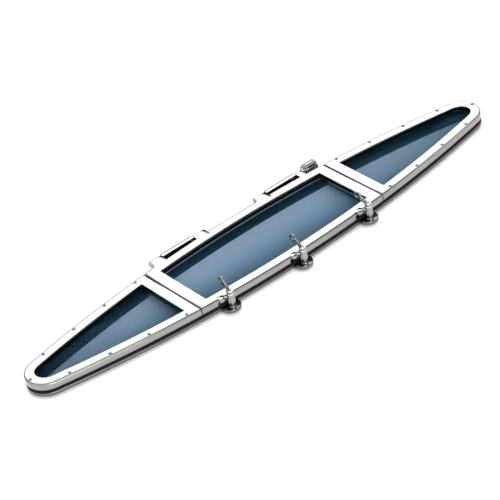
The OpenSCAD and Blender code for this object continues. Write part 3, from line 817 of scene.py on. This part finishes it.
# each wing's frame has a countersink at every screw
sink_profile = [(0.0, -3.2), (M5_R, -3.2), (M5_R, -2.8), (SINK_R, -0.55), (SINK_R, 1), (0.0, 1)]
for side, mirror in (("right", False), ("left", True)):
    ring = Shape()
    sweep(ring, wing_frame_loop, frame_profile(False), mirror)
    sinks = Shape()
    for x, y in SCREW_SPOTS:
        lathe(sinks, sink_profile, Matrix.Translation((-x if mirror else x, y, TOP_Z)), 48)
    ring = cut(ring, sinks)
    node = f"wing_frame_{side}"
    mesh_object(f"wing_ring_{side}", ring.verts, ring.faces, "root", polished, node, 25)

# ---------------------------------------------------------------- glass

GLASS_IN = WALL + 1
PANE_EDGE = 0.6
pane = Shape()
plate(pane, lid_loop(GLASS_IN, LID_HALF - GLASS_IN), lid_glass_low.z, lid_glass_high.z, PANE_EDGE)
mesh_object("lid_pane", pane.verts, pane.faces, "lid", glass, "lid_glass", 40)
for side, mirror in (("right", False), ("left", True)):
    pane = Shape()
    plate(pane, wing_loop(GLASS_IN, WING_X + GLASS_IN), GLASS_BOTTOM, GLASS_TOP, PANE_EDGE, mirror)
    node = f"wing_glass_{side}"
    mesh_object(f"wing_pane_{side}", pane.verts, pane.faces, "root", glass, node, 40)

# ---------------------------------------------------------------- screws


def screw_head(shape, x, y, z, r, shank_r, length):
    """A countersunk screw with a rounded rim and a hexagon socket, its face at z."""
    depth = shank_r * 0.9
    socket_r = shank_r * 0.62
    profile = [
        (0.0, -depth),
        (shank_r * 0.56, -depth),
        (socket_r, -depth + 0.1),
        (socket_r, -0.15),
        (shank_r * 0.72, 0.0),
        (r - 0.5, 0.0),
        (r - 0.2, -0.06),
        (r, -0.25),
        (r, -0.35),
        (shank_r, -0.35 - (r - shank_r)),
        (shank_r, -length + 0.5),
        (shank_r - 0.5, -length),
        (0.0, -length),
    ]

    def hexagon(radius, h, a):
        """The socket's radius at the angle a; the rest of the screw stays round."""
        if radius > socket_r * 1.01 or h < -depth - 0.2 or radius == 0:
            return radius
        return radius / math.cos((a + math.pi / 6) % (math.pi / 3) - math.pi / 6) * 0.93

    lathe(shape, profile, Matrix.Translation((x, y, z)), 72, radius_of=hexagon)


WING_SCREW_LENGTH = TOP_Z - 2
for side, mirror in (("right", False), ("left", True)):
    screws = Shape()
    for x, y in SCREW_SPOTS:
        screw_head(screws, -x if mirror else x, y, TOP_Z - 0.05, M5_HEAD_R, M5_R, WING_SCREW_LENGTH)
    name = f"wing_screw_set_{side}"
    node = f"wing_screws_{side}"
    mesh_object(name, screws.verts, screws.faces, "root", screw_steel, node, 30)

# ---------------------------------------------------------------- hinges

EAR_R = TOP_Z - HINGE_Z
EAR_ROOT_Y = HALF_W - 13.0


BRACKET_EASE = 0.4
# the ears' tops stand this far above the lid's, so that the two never share a plane
EAR_PROUD = 0.015
EAR_STEPS = 24
# how far the ears' ends are drawn in at each distance from the end
EAR_EASING = ((0.0, 0.5), (0.15, 0.15), (0.5, 0.0))


def prism_x(shape, section, x0, x1):
    """A section of (y, z) drawn along X, its two ends eased in a little."""
    cy = sum(y for y, z in section) / len(section)
    cz = sum(z for y, z in section) / len(section)
    ends = ((x0, BRACKET_EASE), (x0 + BRACKET_EASE, 0.0), (x1 - BRACKET_EASE, 0.0), (x1, BRACKET_EASE))
    rows = []
    for x, shrink in ends:
        row = []
        for y, z in section:
            out = Vector((y - cy, z - cz))
            out -= out.normalized() * shrink
            row.append((x, cy + out.x, cz + out.y))
        rows.append(row)
    loft(shape, rows)


def ear_piece(shape, x0, x1):
    """An ear of the lid: flush on top, round at the hinge axis, its ends eased."""
    profile = [(EAR_ROOT_Y, TOP_Z - 2 * EAR_R + 0.02)]
    for k in range(EAR_STEPS + 1):
        a = -math.pi / 2 + math.pi * k / EAR_STEPS
        z = HINGE_Z + EAR_R * math.sin(a)
        profile.append((HINGE_Y + EAR_R * math.cos(a), z + EAR_PROUD if z > HINGE_Z else z))
    profile.append((EAR_ROOT_Y, TOP_Z + 3 * EAR_PROUD))
    easing = [(x0 + along, shrink) for along, shrink in EAR_EASING]
    easing += [(x1 - along, shrink) for along, shrink in reversed(EAR_EASING)]
    rows = []
    for x, shrink in easing:
        row = []
        for y, z in profile:
            if y <= EAR_ROOT_Y + 0.01:
                row.append((x, y, z - math.copysign(shrink * 0.6, z - HINGE_Z)))
            else:
                d = Vector((y - HINGE_Y if y > HINGE_Y else 0.0, z - HINGE_Z))
                d.normalize()
                row.append((x, y - d.x * shrink, z - d.y * shrink))
        rows.append(row)
    loft(shape, rows)


EAR_CORNER_R = 6.0


def ear_corner_piece(shape, x, direction):
    """Concave corner where an ear's end runs into the lid's edge."""
    r = EAR_CORNER_R
    y = edge_y(x)
    points = [(x - direction, y - 5), (x - direction, y + r)]
    start = 180 if direction > 0 else 360
    points += arc_points(x + direction * r, y + r, r, start, 270, CORNER_ARC_STEPS)
    points.append((x + direction * r, y - 5))
    plate(shape, points, TOP_Z - 2 * EAR_R, TOP_Z + 0.02, 0.25)


EAR_GAP = 0.5
EAR_LENGTH = 36.0
LEFT_EAR_LENGTH = 37.0
KNOB_GAP = 1.8

left_x0, left_x1 = knuckle_low.x, knuckle_high.x
right_x0, right_x1 = knuckle_right_low.x, knuckle_right_high.x
outer_left = left_x0 - EAR_GAP - LEFT_EAR_LENGTH
inner_left = left_x1 + EAR_GAP + EAR_LENGTH
inner_right = right_x0 - EAR_GAP - EAR_LENGTH
outer_right = knob_low.x - KNOB_GAP
ears = Shape()
ear_piece(ears, outer_left, left_x0 - EAR_GAP)
ear_piece(ears, left_x1 + EAR_GAP, inner_left)
ear_piece(ears, inner_right, right_x0 - EAR_GAP)
ear_piece(ears, right_x1 + EAR_GAP, outer_right)
ear_corner_piece(ears, outer_left, -1)
ear_corner_piece(ears, inner_left, 1)
ear_corner_piece(ears, inner_right, -1)
mesh_object("lid_ears", ears.verts, ears.faces, "lid", polished, "lid_frame", 30)

KNUCKLE_FRONT = HINGE_Y - EAR_R
KNUCKLE_REAR = HINGE_Y + EAR_R
KNUCKLE_TOP = HINGE_Z + EAR_R
KNUCKLE_FOOT = HINGE_Z - EAR_R
WEB_HALF = 4.9
FOOT_FRONT = HINGE_Y - 9
FOOT_T = 5.0
FOOT_SCREW_Y = HINGE_Y + 12.5
FOOT_SCREW_PITCH = 34.0
FOOT_SCREW_LENGTH = 11.5

# the fixed knuckle's section: nearly square, its upper rear edge bevelled more than the front one
knuckle_section = [
    (KNUCKLE_FRONT, KNUCKLE_FOOT + 1),
    (KNUCKLE_FRONT, KNUCKLE_TOP - 1.0),
    (KNUCKLE_FRONT + 0.8, KNUCKLE_TOP),
    (KNUCKLE_REAR - 2.6, KNUCKLE_TOP),
    (KNUCKLE_REAR - 0.3, KNUCKLE_TOP - 0.45),
    (KNUCKLE_REAR, KNUCKLE_TOP - 1.0),
    (KNUCKLE_REAR, KNUCKLE_FOOT + 1),
    (KNUCKLE_REAR - 1, KNUCKLE_FOOT),
    (KNUCKLE_FRONT + 1, KNUCKLE_FOOT),
]
for side, x0, x1 in (("left", left_x0, left_x1), ("right", right_x0, right_x1)):
    bracket = Shape()
    foot_z = FLANGE_Z + 0.02
    prism_x(bracket, knuckle_section, x0, x1)
    web_low = (x0 + 0.1, HINGE_Y - WEB_HALF, foot_z)
    web_high = (x1 - 0.1, HINGE_Y + WEB_HALF, HINGE_Z - 1)
    rounded_block(bracket, web_low, web_high, 0.6)
    rounded_block(bracket, (x0, FOOT_FRONT, foot_z), (x1, base_high.y - 1.5, FLANGE_Z + FOOT_T), 0.8)
    node = f"hinge_bracket_{side}"
    mesh_object(f"bracket_{side}", bracket.verts, bracket.faces, "root", polished, node)

foot_set = Shape()
for x0, x1 in ((left_x0, left_x1), (right_x0, right_x1)):
    for k in (-1, 0, 1):
        x = (x0 + x1) / 2 + FOOT_SCREW_PITCH * k
        z = FLANGE_Z + FOOT_T + 0.03
        screw_head(foot_set, x, FOOT_SCREW_Y, z, M5_HEAD_R, M5_R, FOOT_SCREW_LENGTH)
node = "bracket_screws"
mesh_object("bracket_screw_set", foot_set.verts, foot_set.faces, "root", satin, node, 30)

# friction knob: a hub, then a turned cylinder with two grooves round its rim and a dished end
knob = Shape()
knob_r = (knob_high.z - knob_low.z) / 2
knob_len = knob_high.x - knob_low.x
knob_profile = rounded(
    [
        (3.05, 0, 0.2),
        (9.0, 0, 0.6),
        (9.0, 5, 0.4),
        (knob_r - 0.3, 5, 1.4),
        (knob_r - 0.3, 8.5, 0.4),
        (knob_r - 1.0, 9.1, 0.3),
        (knob_r - 1.0, 9.9, 0.3),
        (knob_r, 10.5, 0.5),
        (knob_r, knob_len - 5.5, 0.5),
        (knob_r - 1.0, knob_len - 4.9, 0.3),
        (knob_r - 1.0, knob_len - 4.1, 0.3),
        (knob_r - 0.3, knob_len - 3.5, 0.4),
        (knob_r - 0.3, knob_len, 1.5),
        (5.0, knob_len, 0.5),
        (4.5, knob_len - 1.0, 0.3),
        (0.0, knob_len - 1.0, 0),
    ],
    closed=False,
)
lathe(knob, knob_profile, along_x(knob_low.x, HINGE_Y, HINGE_Z), 96)
mesh_object("knob_body", knob.verts, knob.faces, "knob", polished, "friction_knob", 40)

# ---------------------------------------------------------------- dogs

sockets = Shape()
socket_profile = rounded(
    [
        (0.0, 5.0, 0),
        (4.6, 5.0, 0.2),
        (4.6, FLANGE_Z + 2.4, 0.2),
        (5.3, FLANGE_Z + 3.0, 0.2),
        (8.8, FLANGE_Z + 3.0, 0.5),
        (9.7, FLANGE_Z + 2.0, 0.4),
        (9.7, FLANGE_Z + 0.6, 0.2),
        (9.3, FLANGE_Z + 0.02, 0.1),
        (7.0, FLANGE_Z + 0.02, 0),
        (7.0, 1.6, 0),
        (0.0, 1.6, 0),
    ],
    closed=False,
)
for dog_x, dog_y in DOG_AXES:
    lathe(sockets, socket_profile, Matrix.Translation((dog_x, dog_y, 0)), 72)
mesh_object("socket_rings", sockets.verts, sockets.faces, "root", polished, "dog_sockets", 35)

BARREL_R = 9.2
BARREL_FOOT_R = 7.8
BARREL_BORE_R = 6.2
BARREL_TOP = TOP_Z + 8
BARREL_Z = FLANGE_Z + 4
HUB_Z = BARREL_TOP + 1.2
HUB_R = 8.8
BOLT_R = 4.0
# the lug beside each barrel: its middle to the left and towards the lid, and its radius
LUG_SIDE = 19.0
LUG_IN = 12.5
LUG_R = 9.0

barrels = Shape()
barrel_profile = rounded(
    [
        (BARREL_BORE_R, BARREL_Z, 0.2),
        (BARREL_FOOT_R, BARREL_Z, 0.6),
        (BARREL_FOOT_R, BARREL_Z + 9, 0.4),
        (BARREL_R, BARREL_Z + 9.05, 0.6),
        (BARREL_R, TOP_Z - 3.2, 0.2),
        (BARREL_R - 0.35, TOP_Z - 2.8, 0.2),
        (BARREL_R - 0.35, TOP_Z - 2.2, 0.2),
        (BARREL_R, TOP_Z - 1.8, 0.2),
        (BARREL_R, BARREL_TOP, 0.7),
        (BOLT_R + 0.1, BARREL_TOP, 0.2),
        (BOLT_R + 0.1, TOP_Z - 3, 0.0),
        (BARREL_BORE_R, TOP_Z - 3, 0.0),
    ]
)
for dog_x, dog_y in DOG_AXES:
    lathe(barrels, barrel_profile, Matrix.Translation((dog_x, dog_y, 0)), 72, closed=True)
    lug_x = dog_x - LUG_SIDE
    lug_y = dog_y + LUG_IN
    lug = arc_points(lug_x, lug_y, LUG_R, 90, 270, 24)
    lug += [(lug_x + 6.5, lug_y - LUG_R), (lug_x + 8.3, lug_y - 8.3)]
    lug += [(lug_x + LUG_R, lug_y - 6.5), (lug_x + LUG_R, lug_y + LUG_R)]
    plate(barrels, lug, TOP_Z - 7, TOP_Z + 0.02, 0.5)
    # web from the barrel to the lug, and its root in the barrel's wall
    web_x = dog_x - 10.5
    rounded_block(barrels, (web_x, dog_y - 3, FRAME_Z + 1), (dog_x - 7, lug_y + 5, TOP_Z - 1), 0.4)
    rounded_block(barrels, (web_x, dog_y - 2.5, FRAME_Z + 1), (dog_x - 6.8, dog_y + 2.5, TOP_Z - 1), 0.4)
mesh_object("dog_barrels", barrels.verts, barrels.faces, "lid", polished, "lid_frame", 30)

LEVER_T = 5.0
LEVER_ROOT_X = BOLT_R + 2
LEVER_ROOT = 4.0
LEVER_NECK_X = 14.0
LEVER_RING_X = 34.0
LEVER_RING_R = 9.97
LEVER_EYE_R = 4.8
LEVER_NECK = 5.5
LEVER_SLOT_X = 20.0
LEVER_SLOT_R = 2.1
LEVER_RISE = 33.0


def lever_blade():
    """The blade lying flat, its length along X and its width along Y, with a slot and a ring at its end."""
    meet = math.degrees(math.asin(LEVER_NECK / LEVER_RING_R))
    outline = [(LEVER_ROOT_X, -LEVER_ROOT), (LEVER_NECK_X, -LEVER_NECK)]
    outline += arc_points(LEVER_RING_X, 0, LEVER_RING_R, meet - 180, 180 - meet, 48)
    outline += [(LEVER_NECK_X, LEVER_NECK), (LEVER_ROOT_X, LEVER_ROOT)]
    eye = arc_points(LEVER_RING_X, 0, LEVER_EYE_R, 0, 352.5, 47)
    slot = arc_points(LEVER_SLOT_X, 0, LEVER_SLOT_R, -90, 90)
    slot += arc_points(LEVER_NECK_X, 0, LEVER_SLOT_R, 90, 270)
    return plate_with_holes([outline, eye, slot], -LEVER_T / 2, LEVER_T / 2, 0.8)


hub_profile = rounded(
    [
        (BOLT_R + 0.05, HUB_Z, 0.2),
        (HUB_R, HUB_Z, 0.6),
        (HUB_R, HUB_Z + 8, 1.0),
        (BOLT_R + 0.05, HUB_Z + 8, 0.3),
    ]
)
blade_verts, blade_faces = lever_blade()
# stands the flat blade on edge, pointing along +Y, then tilts it up
on_edge = Matrix(((0, 0, 1, 0), (1, 0, 0, 0), (0, 1, 0, 0), (0, 0, 0, 1)))
tilt = Matrix.Translation((0, 0, HUB_Z + 3.5)) @ Matrix.Rotation(math.radians(LEVER_RISE), 4, "X")
for n, (dog_x, dog_y) in enumerate(DOG_AXES, 1):
    turn = Matrix.Translation((dog_x, dog_y, 0)) @ Matrix.Rotation(math.radians(DOG_TURN[n - 1]), 4, "Z")
    lever = Shape()
    lathe(lever, hub_profile, turn, 72, closed=True)
    lever.add(blade_verts, blade_faces, turn @ tilt @ on_edge)
    body = f"dog_turn_{n}"
    node = f"dog_lever_{n}"
    mesh_object(f"lever_{n}", lever.verts, lever.faces, body, polished, node, 35)

# ---------------------------------------------------------------- CAD pieces kept as they are

KEPT = {
    "lid_seal": rubber,
    "lid_glass_seal": rubber,
    "lid_bed_seal": rubber,
    "wing_glass_seal_left": rubber,
    "wing_glass_seal_right": rubber,
    "wing_bed_seal_left": rubber,
    "wing_bed_seal_right": rubber,
    "lid_glass_retainer": satin,
    "retainer_screws": satin,
    "hinge_bushes": nylon,
    "friction_washer": nylon,
    "thrust_washers": nylon,
    "hinge_pin_left": satin,
    "hinge_pin_right": satin,
}
for n in (1, 2, 3):
    KEPT[f"dog_bolt_{n}"] = satin
    KEPT[f"dog_clip_{n}"] = satin
    KEPT[f"dog_collar_{n}"] = brass
    KEPT[f"lever_pin_{n}"] = satin
for name, material in KEPT.items():
    node = frame["nodes"][name]
    node.data.materials.clear()
    node.data.materials.append(material)

# ---------------------------------------------------------------- floor, light and camera

FLOOR = 9.0
floor_mesh = bpy.data.meshes.new("floor")
floor_corners = [(-FLOOR, -FLOOR, 0), (FLOOR, -FLOOR, 0), (FLOOR, FLOOR, 0), (-FLOOR, FLOOR, 0)]
floor_mesh.from_pydata(floor_corners, [], [(0, 1, 2, 3)])
floor = bpy.data.objects.new("floor", floor_mesh)
floor.location.z = SPIGOT_Z * MM - 0.0001
bpy.context.scene.collection.objects.link(floor)
floor_material, floor_nodes, floor_links, floor_out = new_material("floor")
floor_shader = floor_nodes.new("ShaderNodeBsdfDiffuse")
floor_shader.inputs["Color"].default_value = (0.93, 0.93, 0.93, 1)
floor_links.new(floor_shader.outputs[0], floor_out.inputs[0])
floor_mesh.materials.append(floor_material)
floor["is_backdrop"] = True

world = bpy.data.worlds.new("studio")
bpy.context.scene.world = world
world.use_nodes = True
world_nodes = world.node_tree.nodes
world_links = world.node_tree.links
world_nodes.clear()
background = world_nodes.new("ShaderNodeBackground")
world_out = world_nodes.new("ShaderNodeOutputWorld")
direction = world_nodes.new("ShaderNodeTexCoord")
split = world_nodes.new("ShaderNodeSeparateXYZ")
world_links.new(direction.outputs["Generated"], split.inputs[0])
sky = world_nodes.new("ShaderNodeValToRGB")
sky.color_ramp.elements[0].position = 0.0
sky.color_ramp.elements[0].color = (0.12, 0.125, 0.125, 1)
sky.color_ramp.elements[1].position = 0.5
sky.color_ramp.elements[1].color = (1.05, 1.05, 1.05, 1)
sky_middle = sky.color_ramp.elements.new(0.28)
sky_middle.color = (0.25, 0.255, 0.255, 1)
world_links.new(split.outputs["Z"], sky.inputs[0])


def card(azimuth, elevation, inner, outer):
    """How much a direction lies inside a round soft card: 1 within inner degrees, 0 beyond outer."""
    az, el = math.radians(azimuth), math.radians(elevation)
    towards = (math.sin(az) * math.cos(el), math.cos(az) * math.cos(el), math.sin(el))
    unit = world_nodes.new("ShaderNodeVectorMath")
    unit.operation = "NORMALIZE"
    world_links.new(direction.outputs["Generated"], unit.inputs[0])
    dot = world_nodes.new("ShaderNodeVectorMath")
    dot.operation = "DOT_PRODUCT"
    dot.inputs[1].default_value = towards
    world_links.new(unit.outputs[0], dot.inputs[0])
    soft = world_nodes.new("ShaderNodeMapRange")
    soft.interpolation_type = "SMOOTHSTEP"
    soft.inputs["From Min"].default_value = math.cos(math.radians(outer))
    soft.inputs["From Max"].default_value = math.cos(math.radians(inner))
    world_links.new(dot.outputs["Value"], soft.inputs["Value"])
    return soft.outputs["Result"]


def lit(colour, amount, radiance):
    """The sky's colour with a grey card of the given radiance laid over it."""
    node = world_nodes.new("ShaderNodeMix")
    node.data_type = "RGBA"
    node.inputs[7].default_value = (radiance, radiance, radiance, 1)
    world_links.new(amount, node.inputs[0])
    world_links.new(colour, node.inputs[6])
    return node.outputs[2]


BEHIND_AZ = 33.6
sky_colour = sky.outputs[0]
# dark flag low behind the hatch, which draws the rear edges
sky_colour = lit(sky_colour, card(BEHIND_AZ, 2, 22, 30), 0.03)
# bright card above it, which the polished upper faces mirror
sky_colour = lit(sky_colour, card(BEHIND_AZ, 38, 10, 16), 3.6)
# soft boxes in front and overhead
sky_colour = lit(sky_colour, card(195, 24, 14, 30), 5.0)
sky_colour = lit(sky_colour, card(200, 74, 12, 20), 3.2)
# dark flag that draws the front edges
sky_colour = lit(sky_colour, card(142, 40, 10, 17), 0.04)
world_links.new(sky_colour, background.inputs["Color"])
background.inputs["Strength"].default_value = 1.0
world_links.new(background.outputs[0], world_out.inputs[0])


front_light = bpy.data.lights.new("front_box", "AREA")
front_light.shape = "RECTANGLE"
front_light.size = 2.6
front_light.size_y = 1.0
front_light.energy = 60.0
front_box = bpy.data.objects.new("front_box", front_light)
front_box.location = (-1.0, -3.2, 1.7)
front_box.rotation_euler = (-front_box.location).to_track_quat("-Z", "Y").to_euler()
bpy.context.scene.collection.objects.link(front_box)
front_box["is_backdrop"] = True

camera_data = bpy.data.cameras.new("camera")
camera_data.lens = 158.8
camera_data.sensor_width = 36.0
camera_data.clip_start = 0.05
camera_data.clip_end = 50.0
camera = bpy.data.objects.new("camera", camera_data)
azimuth = math.radians(33.56)
elevation = math.radians(34.99)
roll = math.radians(-11.18)
ahead = math.cos(elevation)
forward = Vector((math.sin(azimuth) * ahead, math.cos(azimuth) * ahead, -math.sin(elevation)))
level = forward.cross(Vector((0, 0, 1))).normalized()
upright = level.cross(forward)
axis_x = level * math.cos(roll) + upright * math.sin(roll)
axis_y = upright * math.cos(roll) - level * math.sin(roll)
target = Vector((-0.0645, -0.0226, 0.036))
distance = 5.180
turned = Matrix((axis_x, axis_y, -forward)).transposed()
camera.matrix_world = Matrix.Translation(target - forward * distance) @ turned.to_4x4()
bpy.context.scene.collection.objects.link(camera)
bpy.context.scene.camera = camera
bpy.context.scene.view_settings.view_transform = "Standard"

# ---------------------------------------------------------------- bounds of the shown pieces

bpy.context.view_layer.update()
low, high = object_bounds()
